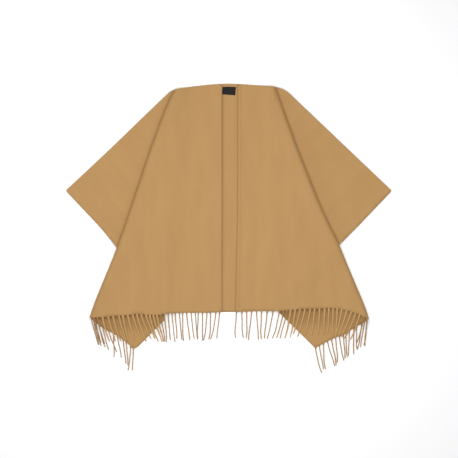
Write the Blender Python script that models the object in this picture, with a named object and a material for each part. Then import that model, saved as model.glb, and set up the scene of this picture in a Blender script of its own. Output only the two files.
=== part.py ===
"""Fringe poncho laid flat on its back, with both sides folded under.

One blanket cloth is folded over the shoulders and slit open down the front.
On each side a pleat runs from the shoulder to the hem, so that the wing lies
under the front and a folded corner looks out below it. Metres, +Z up, the neck
towards +Y, the floor at z = 0 and the middle of the outline at x = y = 0.
"""

import math
import random
from collections import namedtuple

import bmesh
import bpy
from mathutils import Matrix, Vector
from mathutils.geometry import delaunay_2d_cdt

# Cloth and how its layers lie on each other
CLOTH = 0.0015
LAYER_GAP = 0.0005
LAYER_STEP = CLOTH + LAYER_GAP
SEAM_GAP = 0.0003
FALL = 0.062

# Triangles of the plan: grid, its clearance from the lines, and what it must cover
GRID = 0.055
GRID_CLEAR = 0.45 * GRID
GRID_COVER = (1.6, 1.5)
LINE_STEP = 0.040
SAME_PLACE = 3e-6
BLEND_REACH = 0.004

# Folds: the middle of the cloth turns on this radius
FOLD_RADIUS = LAYER_STEP / 2
FOLD_PARTS = 4
SHOULDER_PARTS = 3
SHOULDER_REACH = 0.00175
SHOULDER_STOP = 0.015

# Fold over the shoulders: it falls from the neck, by the drop at the given distance
NECK_Y = 0.4975
NECK_DROP = 0.0036
NECK_DROP_AT = 0.069

# Edges of the front opening, from the hem up to the neck
HEM_Y = -0.2872
EDGE_HEM = 0.010
Edge = namedtuple("Edge", "y x")
LEFT_EDGE = (
    Edge(-0.2872, -0.0280),
    Edge(-0.0700, -0.0272),
    Edge(0.1000, -0.0266),
)
RIGHT_EDGE = (
    Edge(-0.2872, 0.0235),
    Edge(-0.0700, 0.0283),
    Edge(0.1000, 0.0312),
    Edge(0.3300, 0.0317),
)

# Neck label
LABEL_WIDTH = 0.0442
LABEL_HEIGHT = 0.0280
LABEL_THICK = 0.0008
LABEL_CENTRE = (-0.0013, 0.4752)
LABEL_TILT = -0.078

# Fringe
STRAND_WIDTH = 0.0038
STRAND_HEIGHT = 0.0024
STRAND_CLEAR = 0.0004
STRAND_PARTS = 5
STRAND_TAPER = 0.7
ROOT_JITTER = 0.18
TIP_JITTER = 0.0022
LENGTH_JITTER = (0.95, 1.03)
BOW_JITTER = 0.0016
STRIP_WIDTH = 0.0030
STRIP_END = 0.0025
BEND_CLEAR = 0.0003
OVER_CORNER = 0.0032
OVER_CORNER_REACH = 0.100
OVER_CORNER_FADE = 0.040

# The points that fix how each side is folded, seen from above
Side = namedtuple("Side", "name shoulder outer tip bend foot corner turn")
LEFT = Side(
    name="left",
    shoulder=(-0.1860, 0.4785),
    outer=(-0.2020, 0.4712),
    tip=(-0.5626, 0.1296),
    bend=(-0.3803, -0.0639),
    foot=(-0.4788, -0.3072),
    corner=(-0.3240, -0.4150),
    turn=(-0.2262, -0.3170),
)
RIGHT = Side(
    name="right",
    shoulder=(0.1572, 0.4872),
    outer=(0.1950, 0.4752),
    tip=(0.5594, 0.1291),
    bend=(0.3768, -0.0631),
    foot=(0.4790, -0.3095),
    corner=(0.2926, -0.4117),
    turn=(0.1449, -0.2612),
)

# How far the pleat's outer fold swings out, by its share of the way down
Swing = namedtuple("Swing", "share out")
LEFT_SWING = (
    Swing(0.08, 0.0074),
    Swing(0.28, 0.0060),
    Swing(0.40, 0.0018),
    Swing(0.52, -0.0014),
    Swing(0.62, -0.0045),
    Swing(0.73, -0.0045),
    Swing(0.84, -0.0010),
)
RIGHT_SWING = (
    Swing(0.05, -0.0020),
    Swing(0.16, -0.0055),
    Swing(0.28, -0.0087),
    Swing(0.40, -0.0090),
    Swing(0.52, -0.0086),
    Swing(0.60, -0.0050),
    Swing(0.66, 0.0006),
    Swing(0.74, 0.0012),
    Swing(0.90, 0.0025),
)

# Front hems, from the opening to the foot of the pleat
Hem = namedtuple("Hem", "x y")
LEFT_HEM = (
    Hem(-0.0500, -0.2893),
    Hem(-0.1100, -0.2900),
    Hem(-0.1900, -0.2906),
    Hem(-0.2250, -0.2925),
    Hem(-0.2660, -0.2965),
    Hem(-0.3250, -0.2955),
    Hem(-0.3940, -0.3005),
    Hem(-0.4400, -0.3040),
)
RIGHT_HEM = (
    Hem(0.0520, -0.2862),
    Hem(0.1550, -0.2838),
    Hem(0.1820, -0.2848),
    Hem(0.2030, -0.2800),
    Hem(0.2440, -0.2741),
    Hem(0.3260, -0.2743),
    Hem(0.3890, -0.2785),
    Hem(0.4100, -0.2820),
    Hem(0.4520, -0.2967),
)

# Strands: how far the tip is shifted towards +X, by the place of the root
Lean = namedtuple("Lean", "x shift")
LEFT_FRONT_LEAN = (
    Lean(-0.470, 0.028),
    Lean(-0.240, 0.024),
    Lean(-0.222, 0.010),
    Lean(-0.130, 0.010),
    Lean(-0.100, -0.004),
    Lean(-0.030, -0.012),
)
RIGHT_FRONT_LEAN = (
    Lean(0.030, -0.004),
    Lean(0.090, 0.002),
    Lean(0.170, -0.022),
    Lean(0.330, -0.020),
    Lean(0.460, -0.006),
)
LEFT_CORNER_LEAN = (
    Lean(-0.470, 0.026),
    Lean(-0.410, 0.010),
    Lean(-0.330, -0.004),
)
RIGHT_CORNER_LEAN = (
    Lean(0.300, 0.020),
    Lean(0.380, 0.008),
    Lean(0.470, -0.008),
)

# Fringes, each with the count and length of its strands
Strands = namedtuple("Strands", "name count length leans")
LEFT_FRONT_STRANDS = Strands("left_front_fringe", 31, 0.098, LEFT_FRONT_LEAN)
RIGHT_FRONT_STRANDS = Strands("right_front_fringe", 30, 0.098, RIGHT_FRONT_LEAN)
LEFT_CORNER_STRANDS = Strands("left_corner_fringe", 13, 0.080, LEFT_CORNER_LEAN)
RIGHT_CORNER_STRANDS = Strands("right_corner_fringe", 16, 0.094, RIGHT_CORNER_LEAN)
FRINGE_SEED = 11


def clear_scene():
    for thing in list(bpy.data.objects):
        bpy.data.objects.remove(thing, do_unlink=True)
    for group in list(bpy.data.collections):
        bpy.data.collections.remove(group)
    for block in list(bpy.data.meshes):
        bpy.data.meshes.remove(block)
    for block in list(bpy.data.materials):
        bpy.data.materials.remove(block)


def make_material(name, colour, roughness):
    material = bpy.data.materials.new(name)
    material.use_nodes = True
    shader = material.node_tree.nodes["Principled BSDF"]
    shader.inputs["Base Color"].default_value = (*colour, 1.0)
    shader.inputs["Roughness"].default_value = roughness
    material.diffuse_color = (*colour, 1.0)
    return material


def from_table(rows, key, value, at):
    """Read a short table between its rows, holding the end values."""
    if at <= getattr(rows[0], key):
        return getattr(rows[0], value)
    for first, second in zip(rows, rows[1:]):
        low = getattr(first, key)
        high = getattr(second, key)
        if at <= high:
            share = (at - low) / (high - low)
            start = getattr(first, value)
            return start + (getattr(second, value) - start) * share
    return getattr(rows[-1], value)


def subdivide(points, step=LINE_STEP):
    """Add even points along a line, so that no stretch is longer than step."""
    line = [points[0]]
    for start, end in zip(points, points[1:]):
        parts = max(1, math.ceil((end - start).length / step))
        for i in range(1, parts + 1):
            line.append(start.lerp(end, i / parts))
    return line


def swung_line(start, end, swings, outward):
    """Line of a fold: straight from start to end, swung out where the table says."""
    across = Vector(((start - end).y, (end - start).x)).normalized()
    if across.x * outward < 0:
        across = -across
    line = [start]
    for row in swings:
        line.append(start.lerp(end, row.share) + across * row.out)
    line.append(end)
    return line


def shoulder_fold(x_from, shoulder):
    """Fold over the shoulders, from the neck down to the point where a pleat starts."""
    drop_ratio = (NECK_Y - shoulder.y) / NECK_DROP
    power = math.log(drop_ratio) / math.log(abs(shoulder.x) / NECK_DROP_AT)
    parts = max(1, math.ceil(abs(shoulder.x - x_from) / LINE_STEP))
    line = []
    for i in range(parts + 1):
        x = x_from + (shoulder.x - x_from) * i / parts
        line.append(Vector((x, NECK_Y - NECK_DROP * (abs(x) / NECK_DROP_AT) ** power)))
    return line


def edge_line(rows, top_y):
    """Edge of the opening from the neck down to the hem."""
    parts = math.ceil((top_y - HEM_Y) / LINE_STEP)
    line = []
    for i in range(parts + 1):
        y = top_y + (HEM_Y - top_y) * i / parts
        line.append(Vector((from_table(rows, "y", "x", y), y)))
    return line


def inside(point, polygon):
    count = False
    for a, b in zip(polygon, polygon[1:] + polygon[:1]):
        if (a.y > point.y) != (b.y > point.y):
            cross = a.x + (point.y - a.y) * (b.x - a.x) / (b.y - a.y)
            if point.x < cross:
                count = not count
    return count


def segment_distance(point, a, b):
    along = b - a
    share = (point - a).dot(along) / max(along.length_squared, 1e-18)
    share = min(1.0, max(0.0, share))
    return (point - (a + along * share)).length, share


def line_place(point, line):
    """Distance of a point from a line, and how far along the line it lies."""
    best = (1e9, 0.0)
    travelled = 0.0
    for a, b in zip(line, line[1:]):
        distance, share = segment_distance(point, a, b)
        length = (b - a).length
        if distance < best[0] - 1e-9:
            best = (distance, travelled + share * length)
        travelled += length
    return best


def line_length(line):
    return sum((b - a).length for a, b in zip(line, line[1:]))


def point_along(line, distance):
    """Point at a distance along a line, with the direction of the line there."""
    for a, b in zip(line, line[1:]):
        length = (b - a).length
        if distance <= length:
            return a.lerp(b, distance / length), (b - a).normalized()
        distance -= length
    return line[-1].copy(), (line[-1] - line[-2]).normalized()


def direction_at(line, distance):
    """Direction of a line, averaged over a short stretch so that corners blend."""
    total = line_length(line)
    before, _ = point_along(line, max(0.0, distance - BLEND_REACH))
    after, _ = point_along(line, min(total, distance + BLEND_REACH))
    return (after - before).normalized()


class SidePlan:
    """The lines and outlines of one side, all seen from above."""

    def __init__(self, side, swings, hem_rows, edge_rows):
        outward = -1 if side.name == "left" else 1
        self.name = side.name
        self.outward = outward
        shoulder = Vector(side.shoulder)
        foot = Vector(side.foot)
        corner = Vector(side.corner)
        turn = Vector(side.turn)

        self.outer_fold = subdivide(swung_line(shoulder, foot, swings, outward))
        self.inner_fold = subdivide([shoulder, turn])
        self.shoulder_line = subdivide([shoulder, Vector(side.outer), Vector(side.tip)])
        self.selvage = subdivide([Vector(side.tip), Vector(side.bend), turn])
        self.corner_hem = subdivide([foot, corner])
        self.corner_side = subdivide([corner, turn])
        top_x = from_table(edge_rows, "y", "x", NECK_Y)
        hem_width = Vector((outward * EDGE_HEM, 0.0))
        hem_top = shoulder_fold(top_x + hem_width.x, shoulder)
        self.top = shoulder_fold(top_x, shoulder)[:1] + hem_top
        self.opening = edge_line(edge_rows, self.top[0].y)
        self.edge_hem_side = [hem_top[0]]
        self.edge_hem_side += [place + hem_width for place in self.opening[1:]]
        hem = [self.opening[-1], self.edge_hem_side[-1]]
        hem += [Vector((row.x, row.y)) for row in hem_rows]
        self.front_hem = subdivide(hem + [foot])

        self.front = self.top + self.outer_fold[1:] + self.front_hem[::-1][1:]
        self.front += self.opening[::-1][1:-1]
        self.under = self.outer_fold + self.corner_hem[1:] + self.corner_side[1:]
        self.under += self.inner_fold[::-1][1:-1]
        self.wing = self.shoulder_line + self.selvage[1:] + self.inner_fold[::-1][1:-1]
        self.edge_hem = self.top[:2] + self.edge_hem_side[1:]
        self.edge_hem += [self.front_hem[0]] + self.opening[::-1][1:-1]


class FoldPlan:
    """One triangulated plan that every layer of cloth shares.

    A layer is as high as the count of layers beneath it, and the count fades
    out past each outline, so no two layers can meet.
    """

    def __init__(self, left, right):
        self.sides = (left, right)
        back = left.top[::-1] + right.top + right.outer_fold[1:]
        back += right.front_hem[::-1][1:] + left.front_hem + left.outer_fold[::-1][1:-1]
        self.back = back
        self.layers = (
            (back,),
            (left.under, right.under),
            (left.wing, right.wing),
            (left.wing, right.wing),
            (left.under, right.under, left.edge_hem, right.edge_hem),
            (left.front, right.front),
        )
        self.triangulate()
        self.heights = [self.level_heights(level) for level in range(6)]

    def triangulate(self):
        points = []
        edges = []
        known = {}

        def index(point):
            key = (round(point.x, 7), round(point.y, 7))
            if key not in known:
                known[key] = len(points)
                points.append(Vector((point.x, point.y)))
            return known[key]

        outlines = {id(p): p for layer in self.layers for p in layer}.values()
        for outline in outlines:
            for a, b in zip(outline, outline[1:] + outline[:1]):
                edges.append((index(a), index(b)))
        lines = [(points[a], points[b]) for a, b in edges]
        for place in self.grid_points():
            if all(segment_distance(place, a, b)[0] > GRID_CLEAR for a, b in lines):
                index(place)
        result = delaunay_2d_cdt(points, edges, [], 0, 1e-6)
        self.points = result[0]
        self.triangles = [tuple(face) for face in result[2]]

    def grid_points(self):
        row_step = GRID * math.sqrt(3) / 2
        columns = math.ceil(GRID_COVER[0] / GRID)
        rows = math.ceil(GRID_COVER[1] / row_step)
        for row in range(-rows // 2, rows // 2 + 1):
            for column in range(-columns // 2, columns // 2 + 1):
                shift = GRID / 2 if row % 2 else 0.0
                yield Vector((column * GRID + shift, row * row_step))

    def weight(self, level, point):
        """One where a layer lies, fading to nothing at the fall distance."""
        best = 0.0
        for outline in self.layers[level]:
            if inside(point, outline):
                return 1.0
            closed = outline + outline[:1]
            distance = line_place(point, closed)[0]
            share = max(0.0, 1.0 - distance / FALL)
            best = max(best, 1.0 if distance < SAME_PLACE else share)
        return best * best * (3.0 - 2.0 * best)

    def level_heights(self, level):
        heights = []
        for point in self.points:
            count = sum(self.weight(below, point) for below in range(level))
            heights.append(CLOTH / 2 + LAYER_STEP * count)
        return heights

    def height_at(self, level, place):
        """Height of a layer's middle at any place, read from the shared plan."""
        for a, b, c in self.triangles:
            pa, pb, pc = self.points[a], self.points[b], self.points[c]
            area = (pb - pa).cross(pc - pa)
            if abs(area) < 1e-12:
                continue
            wa = (pb - place).cross(pc - place) / area
            wb = (pc - place).cross(pa - place) / area
            wc = 1.0 - wa - wb
            if min(wa, wb, wc) > -1e-6:
                high = self.heights[level]
                return high[a] * wa + high[b] * wb + high[c] * wc
        return CLOTH / 2

    def faces_in(self, outline):
        chosen = []
        for face in self.triangles:
            middle = sum((self.points[i] for i in face), Vector((0.0, 0.0))) / 3
            if inside(middle, outline):
                chosen.append(face)
        return chosen

    def on_line(self, line):
        """Plan points that lie on a line, in order, with their place along it."""
        found = []
        for i, point in enumerate(self.points):
            distance, place = line_place(point, line)
            if distance < SAME_PLACE:
                found.append((place, i))
        return sorted(found)


class ClothBody:
    """Middle surface of a folded cloth, thickened at the end into one closed body."""

    def __init__(self, plan):
        self.plan = plan
        self.places = []
        self.offsets = []
        self.faces = []
        self.known = {}

    def add(self, place, offset):
        self.places.append(place)
        self.offsets.append(offset)
        return len(self.places) - 1

    def layer_point(self, level, i, sign):
        if (level, i) not in self.known:
            point = self.plan.points[i]
            place = Vector((point.x, point.y, self.plan.heights[level][i]))
            offset = Vector((0.0, 0.0, sign * CLOTH / 2))
            self.known[level, i] = self.add(place, offset)
        return self.known[level, i]

    def add_layer(self, level, outline, sign):
        for face in self.plan.faces_in(outline):
            self.faces.append([self.layer_point(level, i, sign) for i in face])

    def add_turn(self, line, side, first, second, parts, sweep, reach, sign, limits=None):
        """Turn the cloth round a line, from level first towards level second.

        A sweep of a half turn joins the two levels, a quarter turn stops half
        way with the seam gap left between it and the other piece.
        """
        total = line_length(line)
        rings = []
        for place, i in self.plan.on_line(line):
            if limits and not limits[0] - 1e-6 <= place <= total - limits[1] + 1e-6:
                continue
            along = direction_at(line, place)
            out = Vector((along.y, -along.x)) * side
            point = self.plan.points[i]
            top = self.plan.heights[first][i]
            low = self.plan.heights[second][i]
            drop = (top - low) / 2
            if sweep < math.pi:
                drop -= math.copysign(SEAM_GAP / 2, drop)
            up = math.copysign(1.0, drop)
            level_sign = sign * up
            ring = [self.layer_point(first, i, level_sign)]
            for part in range(1, parts + 1):
                if part == parts and sweep == math.pi:
                    ring.append(self.layer_point(second, i, -level_sign))
                    break
                angle = sweep * part / parts
                outward = math.sin(angle)
                upward = math.cos(angle)
                place_3d = Vector((
                    point.x + out.x * reach * outward,
                    point.y + out.y * reach * outward,
                    top - drop + drop * upward,
                ))
                offset = Vector((out.x * outward, out.y * outward, up * upward))
                ring.append(self.add(place_3d, offset * (sign * CLOTH / 2)))
            rings.append(ring)
        for ring, following in zip(rings, rings[1:]):
            for part in range(parts):
                self.faces.append([ring[part], ring[part + 1],
                                   following[part + 1], following[part]])

    def closed_mesh(self, name):
        count = {}
        for face in self.faces:
            for a, b in zip(face, face[1:] + face[:1]):
                key = (min(a, b), max(a, b))
                count[key] = count.get(key, 0) + 1
        vertices = [p + o for p, o in zip(self.places, self.offsets)]
        vertices += [p - o for p, o in zip(self.places, self.offsets)]
        shift = len(self.places)
        faces = [list(face) for face in self.faces]
        faces += [[i + shift for i in face[::-1]] for face in self.faces]
        for (a, b), uses in count.items():
            if uses == 1:
                faces.append([a, b, b + shift, a + shift])
        return mesh_from(name, vertices, faces)


def mesh_from(name, vertices, faces):
    """Closed mesh of flat triangles that all face outwards."""
    mesh = bpy.data.meshes.new(name)
    mesh.from_pydata([tuple(v) for v in vertices], [], faces)
    shape = bmesh.new()
    shape.from_mesh(mesh)
    bmesh.ops.triangulate(shape, faces=shape.faces)
    bmesh.ops.recalc_face_normals(shape, faces=shape.faces)
    if shape.calc_volume(signed=True) < 0:
        bmesh.ops.reverse_faces(shape, faces=shape.faces)
    for face in shape.faces:
        face.smooth = True
    shape.to_mesh(mesh)
    shape.free()
    return mesh


def add_object(name, mesh, material, collection):
    thing = bpy.data.objects.new(name, mesh)
    thing.data.materials.append(material)
    collection.objects.link(thing)
    return thing


def build_front(plan, side):
    """One front with its wing, from the shoulder line to the hem."""
    body = ClothBody(plan)
    body.add_layer(5, side.front, 1)
    body.add_layer(4, side.under, -1)
    body.add_layer(3, side.wing, 1)
    body.add_layer(4, side.edge_hem, -1)
    turn = side.outward
    half, quarter = math.pi, math.pi / 2
    body.add_turn(side.outer_fold, -turn, 5, 4, FOLD_PARTS, half, FOLD_RADIUS, 1)
    body.add_turn(side.inner_fold, turn, 4, 3, FOLD_PARTS, half, FOLD_RADIUS, -1)
    body.add_turn(side.opening, turn, 5, 4, FOLD_PARTS, half, FOLD_RADIUS, 1)
    body.add_turn(side.top, -turn, 5, 0, SHOULDER_PARTS, quarter, SHOULDER_REACH, 1,
                  (0.0, SHOULDER_STOP))
    body.add_turn(side.shoulder_line, -turn, 3, 2, SHOULDER_PARTS, quarter,
                  FOLD_RADIUS, 1)
    return body.closed_mesh(f"{side.name}_front")


def build_back(plan):
    """The back with both of its wings, folded the same way underneath."""
    body = ClothBody(plan)
    body.add_layer(0, plan.back, -1)
    for side in plan.sides:
        body.add_layer(1, side.under, 1)
        body.add_layer(2, side.wing, -1)
        turn = side.outward
        half, quarter = math.pi, math.pi / 2
        body.add_turn(side.outer_fold, -turn, 0, 1, FOLD_PARTS, half, FOLD_RADIUS, 1)
        body.add_turn(side.inner_fold, turn, 1, 2, FOLD_PARTS, half, FOLD_RADIUS, -1)
        body.add_turn(side.top, -turn, 0, 5, SHOULDER_PARTS, quarter, SHOULDER_REACH, 1,
                      (0.0, SHOULDER_STOP))
        body.add_turn(side.shoulder_line, -turn, 2, 3, SHOULDER_PARTS, quarter,
                      FOLD_RADIUS, 1)
    return body.closed_mesh("back")


def build_label():
    """Woven neck label, lying on the inside of the back."""
    low = CLOTH + SEAM_GAP
    centre = Vector(LABEL_CENTRE)
    tilt = Matrix.Rotation(LABEL_TILT, 2)
    corners = []
    for z in (low, low + LABEL_THICK):
        for sx, sy in ((-1, -1), (1, -1), (1, 1), (-1, 1)):
            spot = centre + tilt @ Vector((sx * LABEL_WIDTH / 2, sy * LABEL_HEIGHT / 2))
            corners.append((spot.x, spot.y, z))
    faces = [(0, 1, 2, 3), (4, 5, 6, 7), (0, 1, 5, 4),
             (1, 2, 6, 5), (2, 3, 7, 6), (3, 0, 4, 7)]
    return mesh_from("neck_label", corners, faces)


class Fringe:
    """Strands that hang from one hem, rooted in the narrow strip they are knotted to."""

    def __init__(self, plan, line, side, level, over_corner, seed):
        self.plan = plan
        self.line = line
        self.side = side
        self.level = level
        self.over_corner = over_corner
        self.random = random.Random(seed)
        self.vertices = []
        self.faces = []

    def low_side(self, place):
        """Height of the lower side of the fringe's own layer."""
        return self.plan.height_at(self.level, place) - CLOTH / 2

    def strand_low(self, place):
        """Height on which a strand lies: its layer, the corner's strands or the floor."""
        low = self.low_side(place)
        for corner in self.over_corner:
            weight = corner_weight(corner, place)
            below = self.plan.height_at(4, place) - CLOTH / 2
            low = max(low, below + OVER_CORNER * weight)
        return low + STRAND_CLEAR

    def section(self, place, across, width, low, high):
        start = len(self.vertices)
        for shift, z in ((-1, low), (1, low), (1, high), (-1, high)):
            spot = place + across * (shift * width / 2)
            self.vertices.append((spot.x, spot.y, z))
        return list(range(start, start + 4))

    def join(self, first, second):
        for i in range(4):
            j = (i + 1) % 4
            self.faces.append([first[i], first[j], second[j], second[i]])

    def station(self, distance):
        """Four corners of the strip at a distance along the hem."""
        point, _ = point_along(self.line, distance)
        along = direction_at(self.line, distance)
        out = Vector((along.y, -along.x)) * self.side
        near = point + out * SEAM_GAP
        far = point + out * (SEAM_GAP + STRIP_WIDTH)
        low = self.low_side(point)
        start = len(self.vertices)
        for spot, z in ((near, low), (near, low + CLOTH), (far, low + CLOTH), (far, low)):
            self.vertices.append((spot.x, spot.y, z))
        return list(range(start, start + 4))

    def strip(self, before, start, end):
        """Carry the strip on from one place to another, through the hem's own bends."""
        travelled = 0.0
        for a, b in zip(self.line, self.line[1:]):
            travelled += (b - a).length
            if start + BEND_CLEAR < travelled < end - BEND_CLEAR:
                bend = self.station(travelled)
                self.join(before, bend)
                before = bend
        last = self.station(end)
        self.join(before, last)
        return last

    def strand(self, root, point, tip, bow):
        """One strand from its root on the strip to its free tip."""
        previous = root
        run = tip - point
        sideways = Vector((-run.y, run.x)).normalized()
        for part in range(1, STRAND_PARTS + 1):
            share = part / STRAND_PARTS
            curve = 4 * share * (1 - share) * bow
            place = point.lerp(tip, share) + sideways * curve
            slope = run.normalized() + sideways * (4 * (1 - 2 * share) * bow / run.length)
            across = Vector((-slope.y, slope.x)).normalized()
            if across.dot(self.root_side) < 0:
                across = -across
            narrow = STRAND_TAPER if part == STRAND_PARTS else 1.0
            low = self.strand_low(place)
            ring = self.section(place, across, STRAND_WIDTH * narrow,
                                low, low + STRAND_HEIGHT * narrow)
            self.join(previous, ring)
            previous = ring
        self.faces.append(previous)

    def build(self, strands):
        total = line_length(self.line) - 2 * STRIP_END
        pitch = total / strands.count
        reached = STRIP_END
        before = self.station(reached)
        self.faces.append(before)
        for i in range(strands.count):
            jitter = self.random.uniform(-ROOT_JITTER, ROOT_JITTER) * pitch
            middle = STRIP_END + (i + 0.5) * pitch + jitter
            first = self.strip(before, reached, middle - STRAND_WIDTH / 2)
            reached = middle + STRAND_WIDTH / 2
            second = self.station(reached)
            for a, b in ((0, 1), (1, 2), (3, 0)):
                self.faces.append([first[a], first[b], second[b], second[a]])
            point, along = point_along(self.line, middle)
            out = Vector((along.y, -along.x)) * self.side
            point = point + out * (SEAM_GAP + STRIP_WIDTH)
            self.root_side = along
            shift = from_table(strands.leans, "x", "shift", point.x)
            shift += self.random.uniform(-TIP_JITTER, TIP_JITTER)
            reach = strands.length * self.random.uniform(*LENGTH_JITTER)
            tip = point + Vector((shift, -math.sqrt(reach * reach - shift * shift)))
            bow = self.random.uniform(-BOW_JITTER, BOW_JITTER)
            root = [first[3], second[3], second[2], first[2]]
            self.strand(root, point, tip, bow)
            before = second
        self.faces.append(self.strip(before, reached, total + STRIP_END))
        return mesh_from(strands.name, self.vertices, self.faces)


def corner_weight(corner, place):
    """One over a folded corner and the strands round it, fading past them."""
    if inside(place, corner):
        return 1.0
    distance = line_place(place, corner + corner[:1])[0]
    share = 1.0 - (distance - OVER_CORNER_REACH) / OVER_CORNER_FADE
    return min(1.0, max(0.0, share))


def build():
    clear_scene()
    collection = bpy.data.collections.new("fringe_poncho")
    bpy.context.scene.collection.children.link(collection)
    left = SidePlan(LEFT, LEFT_SWING, LEFT_HEM, LEFT_EDGE)
    right = SidePlan(RIGHT, RIGHT_SWING, RIGHT_HEM, RIGHT_EDGE)
    plan = FoldPlan(left, right)

    camel = (0.55, 0.32, 0.13)
    cloth = {
        "back": make_material("camel_cloth_back", camel, 0.9),
        "left_front": make_material("camel_cloth_left", camel, 0.9),
        "right_front": make_material("camel_cloth_right", camel, 0.9),
    }
    label = make_material("black_woven_label", (0.012, 0.012, 0.014), 0.6)

    add_object("back", build_back(plan), cloth["back"], collection)
    for side in plan.sides:
        name = f"{side.name}_front"
        add_object(name, build_front(plan, side), cloth[name], collection)
    add_object("neck_label", build_label(), label, collection)

    corners = (left.under, right.under)
    fringes = (
        (LEFT_FRONT_STRANDS, left.front_hem, -1, 5, corners),
        (RIGHT_FRONT_STRANDS, right.front_hem, 1, 5, corners),
        (LEFT_CORNER_STRANDS, left.corner_hem, 1, 4, ()),
        (RIGHT_CORNER_STRANDS, right.corner_hem, -1, 4, ()),
    )
    for row, (strands, line, side, level, over) in enumerate(fringes):
        fringe = Fringe(plan, line, side, level, over, FRINGE_SEED + row)
        yarn = make_material(f"camel_yarn_{strands.name}", camel, 0.9)
        add_object(strands.name, fringe.build(strands), yarn, collection)


build()
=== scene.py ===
import math
import random

import bmesh
import bpy
import numpy as np
from mathutils import Matrix, Vector, kdtree
from mathutils.geometry import delaunay_2d_cdt


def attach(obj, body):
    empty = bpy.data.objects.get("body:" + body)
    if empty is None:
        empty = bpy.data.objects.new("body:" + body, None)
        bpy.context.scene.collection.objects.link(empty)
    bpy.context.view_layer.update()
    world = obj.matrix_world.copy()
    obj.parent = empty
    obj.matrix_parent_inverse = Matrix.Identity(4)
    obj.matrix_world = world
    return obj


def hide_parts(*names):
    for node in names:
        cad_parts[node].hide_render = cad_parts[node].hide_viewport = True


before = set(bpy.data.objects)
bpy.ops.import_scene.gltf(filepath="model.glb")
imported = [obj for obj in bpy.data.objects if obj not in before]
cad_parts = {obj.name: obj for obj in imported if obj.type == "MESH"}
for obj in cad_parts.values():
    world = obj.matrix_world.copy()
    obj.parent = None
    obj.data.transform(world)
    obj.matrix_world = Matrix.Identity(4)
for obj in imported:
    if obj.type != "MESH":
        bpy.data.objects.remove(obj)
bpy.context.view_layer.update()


# The blanket cloth.
# One length of brushed camel cloth is slit up the middle of its front half,
# folded over at the shoulders and pleated under at each side, where a wing and
# a corner of the hem look out.
CLOTH_THICK = 0.0015
LAYER_STEP = 0.0020
LAYER_FALL = 0.062
MESH_STEP = 0.0102
LINE_STEP = 0.0076
HEM_STEP = 0.0033

# Places are across, then up. slope, corner_bow and swing: share of the way, bow
# outwards. The edge and hem rows of painted shade, on the back beside the opening
# and on a corner below the front hem: height, or distance along the hem, then depth.
SIDES = {
    "left": {
        "out": -1.0,
        "edge": ((-0.0266, 1.0), (-0.0266, 0.10), (-0.0272, -0.07), (-0.0280, -1.0)),
        "edge_lift": 0.0016,
        "edge_painted_shade": ((-0.29, 1.5), (0.12, 1.7), (0.24, 2.9)),
        "shoulder": (-0.1860, 0.4782),
        "outer": (-0.2020, 0.4712),
        "outer_round": 0.008,
        "slope": ((0.25, 0.0008), (0.55, -0.0016)),
        "tip": (-0.5626, 0.1296),
        "bend": (-0.3803, -0.0639),
        "foot": (-0.4790, -0.3070),
        "corner_bow": ((0.30, 0.0045), (0.50, -0.0030), (0.72, -0.0055), (0.86, -0.0035)),
        "corner": (-0.3259, -0.4187),
        "corner_round": 0.020,
        "turn": (-0.2262, -0.3170),
        "swing": ((0.08, 0.0075), (0.28, 0.0064), (0.40, 0.0023), (0.52, -0.0008),
                  (0.62, -0.0038), (0.73, -0.0037), (0.84, 0.0), (0.95, 0.0026)),
        "hem": ((-0.0500, -0.2893), (-0.1100, -0.2900), (-0.2150, -0.2910),
                (-0.2456, -0.2985), (-0.2870, -0.2965), (-0.3077, -0.2946),
                (-0.3284, -0.2950), (-0.3491, -0.2985), (-0.3905, -0.3007),
                (-0.4319, -0.3050)),
        "hem_painted_shade": ((0.10, 1.0), (0.36, 1.0), (0.44, 0.9)),
    },
    "right": {
        "out": 1.0,
        "edge": ((0.0317, 1.0), (0.0312, 0.10), (0.0283, -0.07), (0.0235, -0.2872)),
        "edge_lift": 0.0010,
        "edge_painted_shade": ((-0.29, 1.1), (0.50, 1.1)),
        "shoulder": (0.1572, 0.4870),
        "outer": (0.1950, 0.4762),
        "outer_round": 0.022,
        "slope": (),
        "tip": (0.5594, 0.1291),
        "bend": (0.3768, -0.0631),
        "foot": (0.4795, -0.3120),
        "corner_bow": ((0.13, 0.0020), (0.33, 0.0040), (0.47, 0.0080), (0.62, 0.0010)),
        "corner": (0.2960, -0.4115),
        "corner_round": 0.004,
        "turn": (0.1442, -0.2619),
        "swing": ((0.05, -0.0020), (0.16, -0.0056), (0.28, -0.0087), (0.40, -0.0090),
                  (0.52, -0.0088), (0.60, -0.0050), (0.66, 0.0008), (0.74, 0.0012),
                  (0.84, 0.0022), (0.95, 0.0040)),
        "hem": ((0.0900, -0.2850), (0.1500, -0.2838), (0.1753, -0.2845),
                (0.2236, -0.2794), (0.2650, -0.2757), (0.3064, -0.2765),
                (0.3478, -0.2730), (0.3892, -0.2777), (0.4306, -0.2903),
                (0.4513, -0.2966)),
        "hem_painted_shade": ((0.28, 1.0), (0.33, 0.6), (0.38, 0.25), (0.46, 0.25)),
    },
}
TIP_ROUND = 0.007
HEM_Y = -0.2872
NECK_Y = 0.4975
NECK_DROP = 0.0036
NECK_DROP_AT = 0.069
EDGE_HEM = 0.010
NECK_HEM_DEEP = 0.0086
NECK_HEM_ENDS = (-0.0243, 0.0294)
NECK_LEVEL = 6


def spaced(line, step=LINE_STEP):
    """A line with even points added, so that no stretch is longer than step."""
    points = [np.array(line[0], float)]
    for a, b in zip(line[:-1], line[1:]):
        a, b = np.array(a, float), np.array(b, float)
        parts = max(1, math.ceil(np.linalg.norm(b - a) / step))
        points += [a + (b - a) * i / parts for i in range(1, parts + 1)]
    return np.array(points)


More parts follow.
